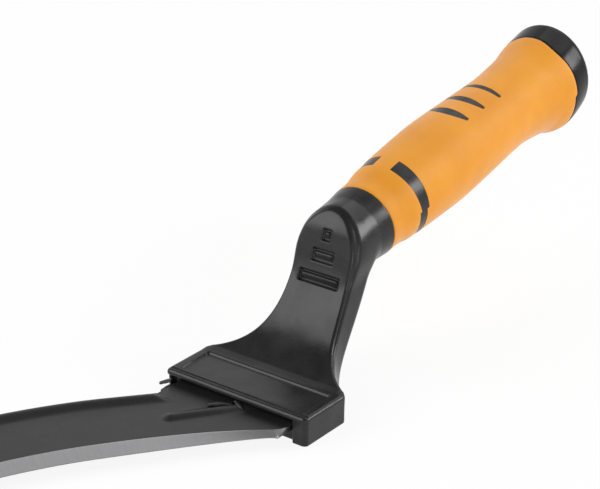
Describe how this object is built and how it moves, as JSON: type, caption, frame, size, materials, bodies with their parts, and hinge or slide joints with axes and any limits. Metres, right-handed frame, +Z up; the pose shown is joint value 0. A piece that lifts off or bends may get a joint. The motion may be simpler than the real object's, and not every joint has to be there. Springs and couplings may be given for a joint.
{
  "type": "sickle",
  "caption": "Hand sickle with a wide crescent blade, a moulded head with a cranked neck, and a soft contoured grip with a dark butt cap.",
  "frame": {"origin": "centre of the head's flat underside, the face that the tool rests on", "axes": "+Y runs from the blade towards the butt of the handle, +Z is up out of the blade's bevelled side, +X is to the right with the blade pointing away from the user's hand"},
  "size_m": [0.1144, 0.4747, 0.0926],
  "materials": {
    "painted_steel": "satin black paint, with the ground cutting bevel left bright",
    "tang_steel": "plain mild steel strip",
    "rivet_steel": "plain steel",
    "black_plastic": "semi-gloss moulded black",
    "orange_rubber": "soft matt orange",
    "cap_plastic": "semi-gloss moulded black"
  },
  "bodies": {
    "root": {"blade": "painted_steel", "tang": "tang_steel", "tang_rivet_front": "rivet_steel", "tang_rivet_rear": "rivet_steel", "moulded_handle": "black_plastic", "grip_sleeve": "orange_rubber", "butt_cap": "cap_plastic"}
  },
  "joints": []
}
